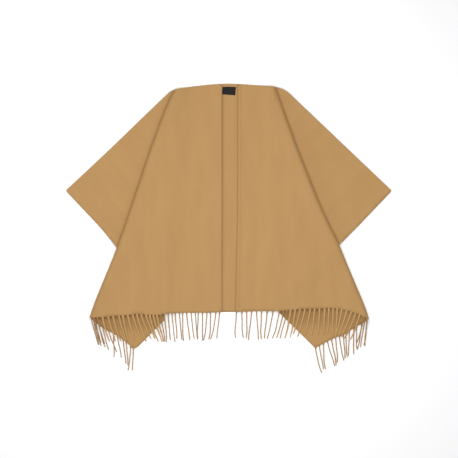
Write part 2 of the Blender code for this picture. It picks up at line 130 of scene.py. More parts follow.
def eased(line, rounds=3):
    """A line whose corners are cut softly, with its ends kept."""
    line = np.array(line, float)
    for _ in range(rounds):
        near = line[:-1] * 0.75 + line[1:] * 0.25
        far = line[:-1] * 0.25 + line[1:] * 0.75
        cut = np.empty((2 * len(near), 2))
        cut[0::2], cut[1::2] = near, far
        line = np.vstack([line[:1], cut, line[-1:]])
    return line


def rounded_corner(a, b, c, reach, parts=7):
    """The corner at b, rounded off over the given reach on both sides."""
    a, b, c = (np.array(p, float) for p in (a, b, c))
    start = b + (a - b) / np.linalg.norm(a - b) * reach
    end = b + (c - b) / np.linalg.norm(c - b) * reach
    shares = np.linspace(0, 1, parts)[:, None]
    return (1 - shares) ** 2 * start + 2 * shares * (1 - shares) * b + shares ** 2 * end


def swung(start, end, swing, out):
    """The outer fold: straight, but swung outwards where the table says."""
    start, end = np.array(start), np.array(end)
    along = (end - start) / np.linalg.norm(end - start)
    across = np.array((-along[1], along[0]))
    across = across if across[0] * out > 0 else -across
    line = [start] + [start + (end - start) * s + across * d for s, d in swing] + [end]
    return eased(line)


def clear_of(line, *corners):
    """The points of a line that lie clear of the rounding at its corners."""
    for place, reach in corners:
        line = line[np.linalg.norm(line - np.array(place), axis=1) > reach]
    return line


def shoulder_drop(side, x):
    """How far up the fold over the shoulders lies: highest at the neck."""
    end_x, end_y = side["shoulder"]
    power = math.log((NECK_Y - end_y) / NECK_DROP) / math.log(abs(end_x) / NECK_DROP_AT)
    return NECK_Y - NECK_DROP * (np.abs(x) / NECK_DROP_AT) ** power


def over_the_shoulders(side, x_from):
    """The fold over the shoulders, from the neck down to where the pleats start."""
    end_x = side["shoulder"][0]
    x = np.linspace(x_from, end_x, math.ceil(abs(end_x - x_from) / LINE_STEP) + 1)
    return np.stack([x, shoulder_drop(side, x)], axis=1)


def side_lines(side):
    """Every line of one side of the folded cloth, seen from above."""
    out = side["out"]
    made = {name: side[name] for name in ("out", "edge_lift", "edge_painted_shade", "hem_painted_shade")}
    made["outer_fold"] = spaced(swung(side["shoulder"], side["foot"], side["swing"], out))
    made["inner_fold"] = spaced([side["shoulder"], side["turn"]])
    outer = rounded_corner(side["shoulder"], side["outer"], side["tip"], side["outer_round"])
    tip = rounded_corner(side["outer"], side["tip"], side["bend"], TIP_ROUND)
    slope = clear_of(swung(side["outer"], side["tip"], side["slope"], out),
                     (side["outer"], side["outer_round"]), (side["tip"], TIP_ROUND))
    made["shoulder_line"] = spaced([side["shoulder"], *outer, *slope, *tip[:4]])
    made["selvage"] = spaced([*tip[3:], *eased([tip[-1], side["bend"], side["turn"]])[1:]])
    corner = rounded_corner(side["foot"], side["corner"], side["turn"], side["corner_round"])
    bowed = clear_of(swung(side["foot"], side["corner"], side["corner_bow"], out),
                     (side["corner"], side["corner_round"]))
    made["corner_hem"] = spaced([*bowed, *corner[:4]], HEM_STEP)
    made["corner_side"] = spaced([*corner[3:], side["turn"]])

    edge_x, edge_y = np.array(sorted(side["edge"], key=lambda row: row[1])).T
    y = np.linspace(NECK_Y, HEM_Y, math.ceil((NECK_Y - HEM_Y) / LINE_STEP) + 1)
    x = np.interp(y, edge_y, edge_x)
    edge_top = over_the_shoulders(side, x[0])[0]
    hem_top = over_the_shoulders(side, x[0] + out * EDGE_HEM)
    made["opening"] = np.vstack([edge_top, np.stack([x, y], axis=1)[1:]])
    made["hem_inside"] = np.vstack([hem_top[0], made["opening"][1:] + (out * EDGE_HEM, 0)])
    made["top"] = np.vstack([edge_top, hem_top])
    hem_end = tuple(made["hem_inside"][-1])
    hem = spaced([hem_end, *eased([hem_end, *side["hem"], side["foot"]])[1:]], HEM_STEP)
    made["front_hem"] = np.vstack([made["opening"][-1], hem])
    made["front"] = np.vstack([made["top"], made["outer_fold"][1:],
                               made["front_hem"][::-1][1:], made["opening"][::-1][1:-1]])
    made["under"] = np.vstack([made["outer_fold"], made["corner_hem"][1:],
                               made["corner_side"][1:], made["inner_fold"][::-1][1:-1]])
    made["wing"] = np.vstack([made["shoulder_line"], made["selvage"][1:],
                              made["inner_fold"][::-1][1:-1]])
    made["edge_hem"] = np.vstack([made["top"][:2], made["hem_inside"][1:],
                                  made["front_hem"][:1], made["opening"][::-1][1:-1]])
    return made


ON_LINE = 5e-6
LINES = {name: side_lines(side) for name, side in SIDES.items()}
LEFT, RIGHT = LINES["left"], LINES["right"]
neck_x = np.linspace(*NECK_HEM_ENDS, 12)
neck_y = np.where(neck_x < 0, shoulder_drop(SIDES["left"], neck_x),
                  shoulder_drop(SIDES["right"], neck_x))
NECK_LINE = np.stack([neck_x, neck_y], axis=1)
NECK_HEM = np.vstack([NECK_LINE, NECK_LINE[::-1] - (0, NECK_HEM_DEEP)])
BACK = np.vstack([LEFT["top"][::-1], NECK_LINE, RIGHT["top"], RIGHT["outer_fold"][1:],
                  RIGHT["front_hem"][::-1][1:], LEFT["front_hem"],
                  LEFT["outer_fold"][::-1][1:-1]])
LAYERS = (
    (BACK,),
    (LEFT["under"], RIGHT["under"]),
    (LEFT["wing"], RIGHT["wing"]),
    (LEFT["wing"], RIGHT["wing"]),
    (LEFT["under"], RIGHT["under"], LEFT["edge_hem"], RIGHT["edge_hem"]),
    (LEFT["front"], RIGHT["front"]),
)


def within(points, outline):
    """Which points lie inside an outline."""
    result = np.zeros(len(points), bool)
    x, y = points[:, 0], points[:, 1]
    for a, b in zip(outline, np.roll(outline, -1, axis=0)):
        if a[1] == b[1]:
            continue
        spans = (a[1] > y) != (b[1] > y)
        result ^= spans & (x < a[0] + (y - a[1]) * (b[0] - a[0]) / (b[1] - a[1]))
    return result


def distance_to(points, line, with_place=False):
    """Distance of points from a line, and how far along it they lie."""
    best = np.full(len(points), 1e9)
    place = np.zeros(len(points))
    travelled = 0.0
    for a, b in zip(line[:-1], line[1:]):
        along = b - a
        length = np.linalg.norm(along)
        if length < 1e-12:
            continue
        share = np.clip((points - a) @ along / length ** 2, 0, 1)
        gap = np.linalg.norm(points - (a + share[:, None] * along), axis=1)
        nearer = gap < best - 1e-10
        best = np.where(nearer, gap, best)
        place = np.where(nearer, travelled + share * length, place)
        travelled += length
    return (best, place) if with_place else best


def distances(line):
    """How far along a line each of its points lies."""
    steps = np.linalg.norm(np.diff(line, axis=0), axis=1)
    return np.concatenate([[0.0], np.cumsum(steps)])


def place_along(line, at):
    """The place on a line at a distance along it, or one for each distance."""
    along = distances(line)
    return np.stack([np.interp(at, along, line[:, 0]), np.interp(at, along, line[:, 1])],
                    axis=-1)


def closed(outline):
    return np.vstack([outline, outline[:1]])


def outline_weight(outline, points):
    """One where a piece of a layer lies, easing to nothing past its outline."""
    gap = distance_to(points, closed(outline))
    share = np.maximum(0, 1 - gap / LAYER_FALL)
    share[within(points, outline) | (gap < ON_LINE)] = 1
    return share * share * (3 - 2 * share)


ROLL_HIGH = 0.0055
ROLL_WIDE = 0.0110
ROLL_EASE = 0.034
ROLL_ENDS = 4
ROLL_ROWS = (-0.0140, -0.0090, -0.0050, -0.0020, 0.0012, 0.0028, 0.0050, 0.0080, 0.0115)
SWELL_HIGH = 0.0030
SWELL_WIDE = 0.0140
STITCH_INSIDE = 0.0012
SEAM_MIDDLE = 0.0045
NECK_ROLL_MIDDLE = 0.004
EDGE_LIFT_WIDE = 0.014
CREASE_STEP = 0.05

# Rises of the cloth beside its lines: height and width
SHOULDER_RISE = (0.0010, 0.012)
SELVAGE_RISE = (0.0007, 0.010)
CORNER_RISE = (0.0012, 0.020)
PLEAT_RISE = (0.0006, 0.012)
FRONT_HEM_RISE = (0.0024, 0.020)
SEAM_RISE = (0.0006, 0.0035)
STITCH_SINK = (0.0002, 0.0011)
PAST_HEM_SINK = (0.0005, 0.012)
NECK_ROLL = (0.0005, 0.003)

# Broad waves: height, heading, length and seed
BACK_WAVES = (0.0004, 1.5, 0.15, 3)
FRONT_WAVES = (0.0006, 1.57, 0.10, 8)


def hump(gap, width):
    """A bell, one on a line and dying away over the given width."""
    return np.exp(-(gap / width) ** 2)


def swell(gap, size):
    """A round rise over a line, of a height and half width."""
    return size[0] * hump(gap, size[1])


def falling(gap, size):
    """A rise that is highest at a line and dies away from it."""
    return size[0] * np.exp(-gap / size[1])


def stitch_line(side):
    """Where the stitches of the turned hem run, just inside its raw edge."""
    return side["hem_inside"] - (side["out"] * STITCH_INSIDE, 0)


def rolled(gap):
    """The rise of a thick fold: steep at its edge, level a little way in, then easing off."""
    near = np.clip(1 - gap / ROLL_WIDE, 0, 1)
    return (1 - near ** 2) * hump(np.maximum(0, gap - ROLL_WIDE), ROLL_EASE)


def soft_waves(points, waves):
    """Broad, uneven waves in cloth, between nought and their height."""
    height, heading, length, seed = waves
    rng = random.Random(seed)
    ahead = np.array((math.cos(heading), math.sin(heading)))
    aside = np.array((-ahead[1], ahead[0]))
    total = np.zeros(len(points))
    for part in range(4):
        size = length * rng.uniform(0.6, 1.7)
        drift = rng.uniform(-0.25, 0.25)
        phase = rng.uniform(0, 6.3)
        run = points @ (aside + drift * ahead)
        strength = np.sin(points @ ahead * 2 * math.pi / (length * 4.1) + phase * 2)
        total += (0.6 + 0.4 * strength) * np.sin(run * 2 * math.pi / size + phase)
    return height * (0.5 + total / 8)


# Soft creases, listed one by one: level, ends, half width and height
CREASES = (
    (5, (-0.200, 0.440), (-0.235, -0.250), 0.020, 0.0011),
    (5, (-0.120, 0.470), (-0.135, -0.270), 0.028, 0.0009),
    (5, (-0.070, 0.300), (-0.082, -0.280), 0.016, 0.0006),
    (5, (-0.290, 0.100), (-0.400, -0.280), 0.018, 0.0009),
    (5, (0.085, 0.470), (0.095, -0.200), 0.024, 0.0009),
    (5, (0.175, 0.430), (0.230, -0.230), 0.020, 0.0010),
    (5, (0.260, 0.150), (0.395, -0.270), 0.016, 0.0010),
    (5, (0.140, 0.050), (0.150, -0.275), 0.014, 0.0007),
    (3, (-0.230, 0.420), (-0.500, 0.110), 0.022, 0.0012),
    (3, (-0.310, 0.330), (-0.430, 0.010), 0.018, 0.0010),
    (3, (0.240, 0.410), (0.490, 0.100), 0.022, 0.0012),
    (3, (0.320, 0.330), (0.440, 0.020), 0.018, 0.0009),
    (0, (-0.150, 0.420), (-0.250, -0.220), 0.030, 0.0007),
    (0, (0.020, 0.350), (0.050, -0.250), 0.026, 0.0006),
    (0, (0.160, 0.400), (0.300, -0.250), 0.030, 0.0007),
)


def level_lift(level, points, over_corner):
    """How far one layer stands off the one beneath it, where it isn't pressed flat."""
    lift = np.zeros(len(points))
    for at, start, end, width, height in CREASES:
        if at == level:
            gap, place = distance_to(points, spaced([start, end], CREASE_STEP), True)
            share = place / np.linalg.norm(np.array(end) - np.array(start))
            lift += height * hump(gap, width) * np.sqrt(np.maximum(0, np.sin(share * math.pi)))
    if level == 0:
        lift += soft_waves(points, BACK_WAVES)
    for side in (LEFT, RIGHT):
        if level == 3:
            lift += swell(distance_to(points, side["shoulder_line"]), SHOULDER_RISE)
            lift += swell(distance_to(points, side["selvage"]), SELVAGE_RISE)
            fold = distance_to(points, side["outer_fold"]) / SWELL_WIDE
            lift += SWELL_HIGH * fold * np.exp(1 - fold) * ~within(points, side["under"])
        if level == 4:
            lift += falling(distance_to(points, side["outer_fold"]), CORNER_RISE)
            edge_rise = (side["edge_lift"], EDGE_LIFT_WIDE)
            lift += swell(distance_to(points, side["opening"]), edge_rise)
        if level == 5:
            lift += ROLL_HIGH * rolled(distance_to(points, side["outer_fold"]))
            lift += swell(distance_to(points, side["inner_fold"]), PLEAT_RISE)
            hem = distance_to(points, side["front_hem"])
            lift += falling(hem, FRONT_HEM_RISE) * over_corner
            edge = distance_to(points, side["opening"])
            lift += swell(edge - SEAM_MIDDLE, SEAM_RISE)
            lift -= swell(distance_to(points, stitch_line(side)), STITCH_SINK)
            past = np.maximum(0, edge - EDGE_HEM)
            lift -= falling(past, PAST_HEM_SINK) * (edge > EDGE_HEM)
    if level == 5:
        lift += soft_waves(points, FRONT_WAVES)
    return lift


def layer_heights(points):
    """Height over the floor of the middle of every layer, lowest first."""
    known = {}
    height = np.full(len(points), CLOTH_THICK / 2)
    heights = []
    for level, layer in enumerate(LAYERS):
        for outline in layer:
            if id(outline) not in known:
                known[id(outline)] = outline_weight(outline, points)
        corner = np.maximum(known.get(id(LEFT["under"]), 0), known.get(id(RIGHT["under"]), 0))
        height = height + level_lift(level, points, corner)
        heights.append(height)
        height = height + LAYER_STEP * np.max([known[id(o)] for o in layer], axis=0)
    neck_roll = swell(distance_to(points, NECK_LINE) - NECK_ROLL_MIDDLE, NECK_ROLL)
    heights.append(heights[0] + LAYER_STEP + neck_roll)
    return heights


# Painted shade beside folds, edges and hems, where raised cloth shades a layer: depth, width
WING_SHADE = (1.0, 0.0075)
FOLD_SHADE = (0.7, 0.0045)
EDGE_SHADE = (0.35, 0.0012)
HEM_SHADE = (1.5, 0.0075)
BACK_SHADE_WIDE = 0.0022
STRANDS_SHADE = 0.38
STRANDS_SHADE_MORE = 0.34
STRANDS_SHADE_FROM = 0.026
STRANDS_SHADE_WIDE = 0.032
DEEPEST_SHADE = 1.8


def painted_shade_beside(level, points):
    """How much painted shade darkens a layer beside a fold or edge above it, and under strands."""
    painted_shade = np.zeros(len(points))
    for side in (LEFT, RIGHT):
        fold = distance_to(points, side["outer_fold"])
        edge = distance_to(points, side["opening"])
        # Painted shadow of the front's opening edge on the back strip
        if level == 0:
            deep = np.interp(points[:, 1], *zip(*side["edge_painted_shade"]))
            painted_shade += deep * hump(edge, BACK_SHADE_WIDE)
        # Painted shade on the wing beside the outer fold
        if level == 3:
            painted_shade += falling(fold, WING_SHADE) * ~within(points, side["under"])
        # Painted shade on the fold's roll and beside the opening edge
        if level in (4, 5):
            painted_shade += falling(fold, FOLD_SHADE) + swell(edge, EDGE_SHADE)
        if level == 4:
            # Painted shadow of the raised front hem on the corner, and of the strands below it
            hem, place = distance_to(points, side["front_hem"], True)
            deep = np.interp(place, *zip(*side["hem_painted_shade"]))
            painted_shade += deep * swell(hem, HEM_SHADE)
            below = hump(np.maximum(0, hem - STRANDS_SHADE_FROM), STRANDS_SHADE_WIDE)
            painted_shade += (STRANDS_SHADE + STRANDS_SHADE_MORE * deep) * below
    return np.clip(painted_shade, 0, DEEPEST_SHADE)


# Rows of points beside the raw edge of the turned hem, and the plan's half sizes
HEM_ROWS = (-0.0046, -0.0012, 0.0012, 0.0024, 0.0036, 0.0067, 0.0115, 0.0140)
PLAN_HALF = (0.58, 0.52)
ROW_STEP = MESH_STEP * 0.866
POINT_CLEAR = MESH_STEP * 0.55


def lay_out_plan():
    """One fine triangulated plan shared by every layer, with all their lines in it."""
    points, edges, known = [], [], {}

    def index(point):
        key = (round(float(point[0]), 7), round(float(point[1]), 7))
        if key not in known:
            known[key] = len(points)
            points.append(Vector(key))
        return known[key]

    outlines = {id(o): o for layer in LAYERS for o in layer}.values()
    for outline in [*outlines, NECK_HEM]:
        for a, b in zip(outline, np.roll(outline, -1, axis=0)):
            edges.append((index(a), index(b)))
    for side in (LEFT, RIGHT):
        for shift in HEM_ROWS:
            for place in side["hem_inside"][1:-1]:
                index(place - (side["out"] * shift, 0))
        fold = side["outer_fold"]
        heading = np.gradient(fold, axis=0)
        heading /= np.linalg.norm(heading, axis=1)[:, None]
        inward = np.stack([heading[:, 1], -heading[:, 0]], axis=1) * side["out"]
        for deep in ROLL_ROWS:
            for place in (fold + inward * deep)[ROLL_ENDS:-ROLL_ENDS]:
                index(place)
    near = kdtree.KDTree(len(points))
    for i, point in enumerate(points):
        near.insert((point.x, point.y, 0), i)
    near.balance()
    for row, y in enumerate(np.arange(-PLAN_HALF[1], PLAN_HALF[1], ROW_STEP), 1):
        for x in np.arange(-PLAN_HALF[0], PLAN_HALF[0], MESH_STEP):
            spot = (x + (row % 2) * MESH_STEP / 2, y, 0)
            if near.find(spot)[2] > POINT_CLEAR:
                index(spot)
    result = delaunay_2d_cdt(points, edges, [], 0, 1e-6)
    return np.array([tuple(p) for p in result[0]]), np.array([tuple(f) for f in result[2]])


PLAN, PLAN_FACES = lay_out_plan()
HEIGHTS = layer_heights(PLAN)
MIDDLES = PLAN[PLAN_FACES].mean(axis=1)


NEAR_OPENING = 0.06


def mirrored(points, a, b):
    """Points turned over a fold line."""
    along = (b - a) / np.linalg.norm(b - a)
    offset = points - a
    return a + 2 * (offset @ along)[:, None] * along - offset


def opened_out(level, points):
    """Where points of a folded layer lie in the flat cloth, for its weave."""
    flat = points.copy()
    for side in (LEFT, RIGHT):
        mine = points[:, 0] * side["out"] > 0
        if level in (2, 3):
            once = mirrored(points, side["inner_fold"][0], side["inner_fold"][-1])
            twice = mirrored(once, side["outer_fold"][0], side["outer_fold"][-1])
            flat[mine] = twice[mine]
        if level in (1, 4):
            once = mirrored(points, side["outer_fold"][0], side["outer_fold"][-1])
            flat[mine] = once[mine]
            turned = mine & (np.abs(points[:, 0]) < NEAR_OPENING)
            if level == 4:
                flat[turned, 0] = 2 * side["opening"][0, 0] - points[turned, 0]
    if level < 3:
        flat[:, 1] = 2 * NECK_Y - flat[:, 1]
    return flat


HEADING_REACH = 0.005


class FoldedCloth:
    """The middle of the cloth, gathered layer by layer and given its thickness last."""

    def __init__(self):
        self.places, self.offsets, self.cuts, self.painted_shades = [], [], [], []
        self.faces, self.known = [], {}
        self.flat = [opened_out(level, PLAN) for level in range(len(HEIGHTS))]
        self.painted_shade = [painted_shade_beside(level, PLAN) for level in range(len(HEIGHTS))]

    def add(self, place, offset, cut, painted_shade):
        self.places.append(place)
        self.offsets.append(offset)
        self.cuts.append(cut)
        self.painted_shades.append(painted_shade)
        return len(self.places) - 1

    def point(self, level, i, sign):
        if (level, i) not in self.known:
            place = (*PLAN[i], HEIGHTS[level][i])
            offset = (0.0, 0.0, sign * CLOTH_THICK / 2)
            self.known[level, i] = self.add(place, offset, self.flat[level][i],
                                            self.painted_shade[level][i])
        return self.known[level, i]

    def layer(self, level, outline, sign):
        for face in PLAN_FACES[within(MIDDLES, outline)]:
            self.faces.append([self.point(level, i, sign) for i in face])

    def turn(self, line, side, top, low, sign, reach, parts=8):
        """A half turn of the cloth round a line, from its upper to its lower level."""
        gap, place = distance_to(PLAN, line, True)
        on_line = [(place[i], i) for i in np.nonzero(gap < ON_LINE)[0]]
        rings = []
        for along, i in sorted(on_line):
            heading = place_along(line, along + HEADING_REACH)
            heading = heading - place_along(line, along - HEADING_REACH)
            heading /= np.linalg.norm(heading)
            out = np.array((heading[1], -heading[0])) * side
            middle = (HEIGHTS[top][i] + HEIGHTS[low][i]) / 2
            half = (HEIGHTS[top][i] - HEIGHTS[low][i]) / 2
            ring = [self.point(top, i, sign)]
            cut_top, cut_low = self.flat[top][i], self.flat[low][i]
            for part in range(1, parts):
                angle = math.pi * part / parts
                outward, upward = math.sin(angle), math.cos(angle)
                spot = PLAN[i] + out * reach * outward
                offset = np.array((*(out * outward), upward)) * sign * CLOTH_THICK / 2
                cut = cut_top + (cut_low - cut_top) * part / parts
                ring.append(self.add((*spot, middle + half * upward), offset, cut,
                                     self.painted_shade[top][i]))
            ring.append(self.point(low, i, -sign))
            rings.append(ring)
        for ring, following in zip(rings, rings[1:]):
            for part in range(parts):
                self.faces.append([ring[part], ring[part + 1],
                                   following[part + 1], following[part]])

    def mesh(self, name):
        """Closed mesh with the cloth's thickness and its places in the flat cloth."""
        places, offsets = np.array(self.places), np.array(self.offsets)
        shift = len(places)
        uses = {}
        for face in self.faces:
            for a, b in zip(face, face[1:] + face[:1]):
                key = (a, b) if a < b else (b, a)
                uses[key] = uses.get(key, 0) + 1
        faces = [list(face) for face in self.faces]
        faces += [[i + shift for i in face[::-1]] for face in self.faces]
        faces += [[a, b, b + shift, a + shift] for (a, b), n in uses.items() if n == 1]
        mesh = bpy.data.meshes.new(name)
        mesh.from_pydata(np.vstack([places + offsets, places - offsets]).tolist(), [], faces)
        shape = bmesh.new()
        shape.from_mesh(mesh)
        bmesh.ops.recalc_face_normals(shape, faces=shape.faces)
        if shape.calc_volume(signed=True) < 0:
            bmesh.ops.reverse_faces(shape, faces=shape.faces)
        shape.to_mesh(mesh)
        shape.free()
        cut = mesh.attributes.new("cut_place", "FLOAT_VECTOR", "POINT")
        flat = np.array(self.cuts)
        flat = np.vstack([flat, flat])
        flat = np.hstack([flat, np.zeros((len(flat), 1))])
        cut.data.foreach_set("vector", flat.ravel())
        # The painted shade of each point, which darkens the cloth's colour
        painted_shade = mesh.attributes.new("painted_shade", "FLOAT", "POINT")
        painted_shade.data.foreach_set("value", self.painted_shades * 2)
        return mesh


def set_inputs(tree, node, inputs):
    """Gives a node's inputs their values, or links them to another node's output."""
    for name, value in inputs.items():
        if isinstance(value, bpy.types.NodeSocket):
            tree.links.new(value, node.inputs[name])
        else:
            node.inputs[name].default_value = value


def add_node(tree, kind, inputs=None, **settings):
    node = tree.nodes.new(kind)
    for name, value in settings.items():
        setattr(node, name, value)
    set_inputs(tree, node, inputs or {})
    return node


def new_material(name):
    material = bpy.data.materials.new(name)
    material.use_nodes = True
    return material, material.node_tree, material.node_tree.nodes["Principled BSDF"]


def weave_group():
    """Fine twill lines with a brushed nap over them, from places in the flat cloth."""
    group = bpy.data.node_groups.new("brushed_twill", "ShaderNodeTree")
    sockets = (("Place", "INPUT", "NodeSocketVector"), ("Scale", "INPUT", "NodeSocketFloat"),
               ("Twill", "OUTPUT", "NodeSocketFloat"), ("Nap", "OUTPUT", "NodeSocketFloat"),
               ("Mottle", "OUTPUT", "NodeSocketFloat"))
    for name, way, kind in sockets:
        group.interface.new_socket(name=name, in_out=way, socket_type=kind)
    start = add_node(group, "NodeGroupInput")
    scaled = add_node(group, "ShaderNodeVectorMath",
                      {0: start.outputs["Place"], "Scale": start.outputs["Scale"]},
                      operation="SCALE")
    twill = add_node(group, "ShaderNodeTexWave",
                     {"Vector": scaled.outputs[0], "Scale": 450.0, "Distortion": 1.4,
                      "Detail": 2.0, "Detail Scale": 3.0},
                     wave_type="BANDS", bands_direction="DIAGONAL")
    combed = add_node(group, "ShaderNodeMapping",
                      {"Vector": scaled.outputs[0], "Scale": (1.0, 0.22, 1.0)})
    nap = add_node(group, "ShaderNodeTexNoise",
                   {"Vector": combed.outputs[0], "Scale": 900.0, "Detail": 5.0,
                    "Roughness": 0.65})
    mottle = add_node(group, "ShaderNodeTexNoise",
                      {"Vector": combed.outputs[0], "Scale": 26.0, "Detail": 4.0,
                       "Roughness": 0.55})
    add_node(group, "NodeGroupOutput",
             {"Twill": twill.outputs["Fac"], "Nap": nap.outputs["Fac"],
              "Mottle": mottle.outputs["Fac"]})
    return group


BRUSHED_TWILL = weave_group()
CAMEL_DARK = (0.402, 0.229, 0.086)
CAMEL_LIGHT = (0.464, 0.272, 0.107)
# Colour of the painted shade beside folds, edges and hems
CAMEL_PAINTED_SHADE = (0.215, 0.100, 0.026, 1)
CAMEL_SHEEN = (0.95, 0.80, 0.60, 1)


def mixed(tree, factor, dark, light):
    """A ramp from a dark to a light shade."""
    ramp = add_node(tree, "ShaderNodeValToRGB", {"Fac": factor})
    for element, position, shade in zip(ramp.color_ramp.elements, (0.25, 0.75), (dark, light)):
        element.position = position
        element.color = (*shade, 1)
    return ramp.outputs["Color"]


def blended(tree, first, share, second, rest):
    """Two masks added in the given shares."""
    part = add_node(tree, "ShaderNodeMath", {0: second, 1: rest}, operation="MULTIPLY")
    both = add_node(tree, "ShaderNodeMath", {0: first, 1: share, 2: part.outputs[0]},
                    operation="MULTIPLY_ADD")
    return both.outputs[0]


def bumped(tree, height, strength, distance):
    bump = add_node(tree, "ShaderNodeBump",
                    {"Height": height, "Strength": strength, "Distance": distance})
    return bump.outputs["Normal"]


def camel_cloth_look():
    """Brushed camel cloth: soft nap over a fine twill, low sheen, and painted shade by folds."""
    material, tree, shader = new_material("camel_cloth")
    place = add_node(tree, "ShaderNodeAttribute", attribute_name="cut_place")
    weave = add_node(tree, "ShaderNodeGroup", {"Place": place.outputs["Vector"], "Scale": 1.0},
                     node_tree=BRUSHED_TWILL)
    nap = weave.outputs["Nap"]
    colour = mixed(tree, blended(tree, nap, 0.45, weave.outputs["Mottle"], 0.55),
                   CAMEL_DARK, CAMEL_LIGHT)
    # Painted shade: the colour is darkened towards the shade colour where the mask says
    painted_shade = add_node(tree, "ShaderNodeAttribute", attribute_name="painted_shade")
    depth = add_node(tree, "ShaderNodeMath", {0: painted_shade.outputs["Fac"], 1: 0.55},
                     operation="MULTIPLY")
    shaded = add_node(tree, "ShaderNodeMix", {0: depth.outputs[0], 6: colour, 7: CAMEL_PAINTED_SHADE},
                      data_type="RGBA")
    relief = add_node(tree, "ShaderNodeMath", {0: weave.outputs["Twill"], 1: 0.4, 2: nap},
                      operation="MULTIPLY_ADD")
    rough = add_node(tree, "ShaderNodeMapRange", {"Value": nap, "To Min": 0.82, "To Max": 0.96})
    set_inputs(tree, shader, {
        "Base Color": shaded.outputs[2],
        "Normal": bumped(tree, relief.outputs[0], 0.35, 0.0006),
        "Roughness": rough.outputs["Result"], "Specular IOR Level": 0.25,
        "Sheen Weight": 0.25, "Sheen Roughness": 0.45, "Sheen Tint": CAMEL_SHEEN})
    return material


CAMEL_CLOTH = camel_cloth_look()


def new_piece(name, mesh, material):
    piece = bpy.data.objects.new(name, mesh)
    bpy.context.scene.collection.objects.link(piece)
    mesh.materials.append(material)
    mesh.shade_smooth()
    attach(piece, "root")
    return piece


cloth = FoldedCloth()
cloth.layer(0, BACK, -1)
for side in (LEFT, RIGHT):
    out = side["out"]
    cloth.layer(1, side["under"], 1)
    cloth.layer(2, side["wing"], -1)
    cloth.layer(3, side["wing"], 1)
    cloth.layer(4, side["under"], -1)
    cloth.layer(5, side["front"], 1)
    cloth.layer(4, side["edge_hem"], -1)
    cloth.turn(side["outer_fold"], -out, 5, 4, 1, reach=0.0012)
    cloth.turn(side["inner_fold"], out, 4, 3, -1, reach=0.0010)
    cloth.turn(side["shoulder_line"], -out, 3, 2, 1, reach=0.0012)
    cloth.turn(side["inner_fold"], out, 2, 1, -1, reach=0.0010)
    cloth.turn(side["outer_fold"], -out, 1, 0, 1, reach=0.0010)
    cloth.turn(side["top"], -out, 5, 0, 1, reach=0.0016)
    cloth.turn(side["opening"], out, 5, 4, 1, reach=0.0012)
cloth.layer(NECK_LEVEL, NECK_HEM, 1)
cloth.turn(NECK_LINE, -1, NECK_LEVEL, 0, 1, reach=0.0016)
blanket = new_piece("blanket_cloth", cloth.mesh("blanket_cloth"), CAMEL_CLOTH)
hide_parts("back", "left_front", "right_front")


# The neck label.
# A bare black label of woven satin lies on the inside of the back, below the
# turned hem of the neck, and is sewn down at its two ends.
LABEL_CENTRE = (-0.0006, 0.4752)
LABEL_SIZE = (0.0455, 0.0280)
LABEL_TILT = -0.078
LABEL_THICK = 0.0007
LABEL_OFF_CLOTH = 0.0002
LABEL_EDGE = 0.0006
LABEL_BOW = 0.0004
LABEL_DARK = (0.006, 0.006, 0.007)
LABEL_LIGHT = (0.020, 0.019, 0.019)
BACK_TOP = float(layer_heights(np.array([LABEL_CENTRE]))[0][0]) + CLOTH_THICK / 2


def finished_mesh(name, shape):
    """The mesh of a shape, with its faces turned outwards."""
    bmesh.ops.recalc_face_normals(shape, faces=shape.faces)
    mesh = bpy.data.meshes.new(name)
    shape.to_mesh(mesh)
    shape.free()
    return mesh


def label_mesh(name, across=26, down=16):
    """The label's ribbon, with rolled edges, bowed a little between its ends."""
    width, height = LABEL_SIZE
    shape = bmesh.new()
    upper, lower = [], []
    for j in range(down + 1):
        v = j / down
        upper.append([])
        lower.append([])
        for i in range(across + 1):
            u = i / across
            x = LABEL_CENTRE[0] + (u - 0.5) * width
            y = LABEL_CENTRE[1] + (v - 0.5) * height
            rim = min(u * width, (1 - u) * width, v * height, (1 - v) * height)
            roll = math.sqrt(max(0.0, 1 - (1 - min(1.0, rim / LABEL_EDGE)) ** 2))
            bow = LABEL_BOW * math.sin(u * math.pi) * (0.6 + 0.4 * math.sin(v * 3.0 + 0.4))
            low = BACK_TOP + LABEL_OFF_CLOTH + bow
            high = low + LABEL_THICK * (0.25 + 0.75 * roll)
            upper[j].append(shape.verts.new((x, y, high)))
            lower[j].append(shape.verts.new((x, y, low)))
    for j in range(down):
        for i in range(across):
            shape.faces.new((upper[j][i], upper[j][i + 1], upper[j + 1][i + 1], upper[j + 1][i]))
            shape.faces.new((lower[j][i], lower[j + 1][i], lower[j + 1][i + 1], lower[j][i + 1]))
    border = [(0, i) for i in range(across)] + [(j, across) for j in range(down)]
    border += [(down, i) for i in range(across, 0, -1)] + [(j, 0) for j in range(down, 0, -1)]
    for (j, i), (l, k) in zip(border, border[1:] + border[:1]):
        shape.faces.new((upper[j][i], lower[j][i], lower[l][k], upper[l][k]))
    return finished_mesh(name, shape)


def label_look():
    """Black satin ribbon: fine ribs across it, broken up by a little grain."""
    material, tree, shader = new_material("black_label")
    place = add_node(tree, "ShaderNodeTexCoord").outputs["Object"]
    ribs = add_node(tree, "ShaderNodeTexWave",
                    {"Vector": place, "Scale": 420.0, "Distortion": 0.3}, bands_direction="Y")
    grain = add_node(tree, "ShaderNodeTexNoise", {"Vector": place, "Scale": 1500.0})
    both = add_node(tree, "ShaderNodeMath", {0: ribs.outputs["Fac"], 1: grain.outputs["Fac"]},
                    operation="MULTIPLY")
    set_inputs(tree, shader, {
        "Base Color": mixed(tree, both.outputs[0], LABEL_DARK, LABEL_LIGHT),
        "Normal": bumped(tree, both.outputs[0], 0.3, 0.0002),
        "Roughness": 0.55, "Specular IOR Level": 0.15})
    return material


